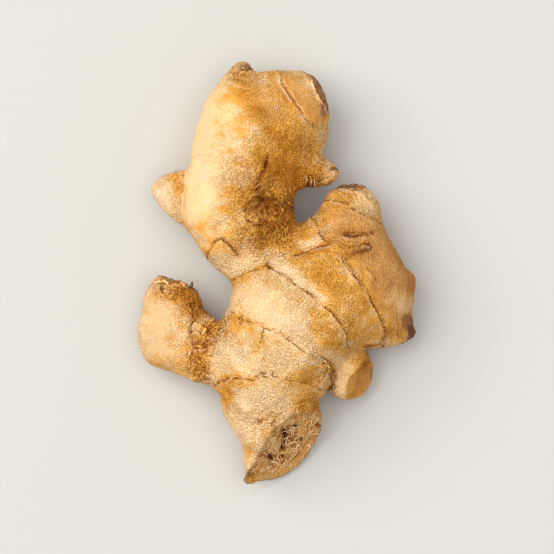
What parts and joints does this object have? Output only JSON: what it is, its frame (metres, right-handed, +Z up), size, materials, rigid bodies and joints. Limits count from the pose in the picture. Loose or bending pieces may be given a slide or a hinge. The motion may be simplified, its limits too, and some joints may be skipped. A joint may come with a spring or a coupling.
{
  "type": "ginger root",
  "caption": "Fresh ginger rhizome lying flat: a hand of plump ringed fingers with short buds, a side finger and a broken end.",
  "frame": {"origin": "on the table, under the middle of the bounding box", "axes": "+Z up, +Y along the rhizome away from its broken end, +X to the right seen from above"},
  "size_m": [0.0838, 0.1262, 0.034],
  "materials": {
    "skin": "matte tan papery skin with brown growth rings and corky scars"
  },
  "bodies": {
    "root": {"rhizome": "skin"}
  },
  "joints": []
}
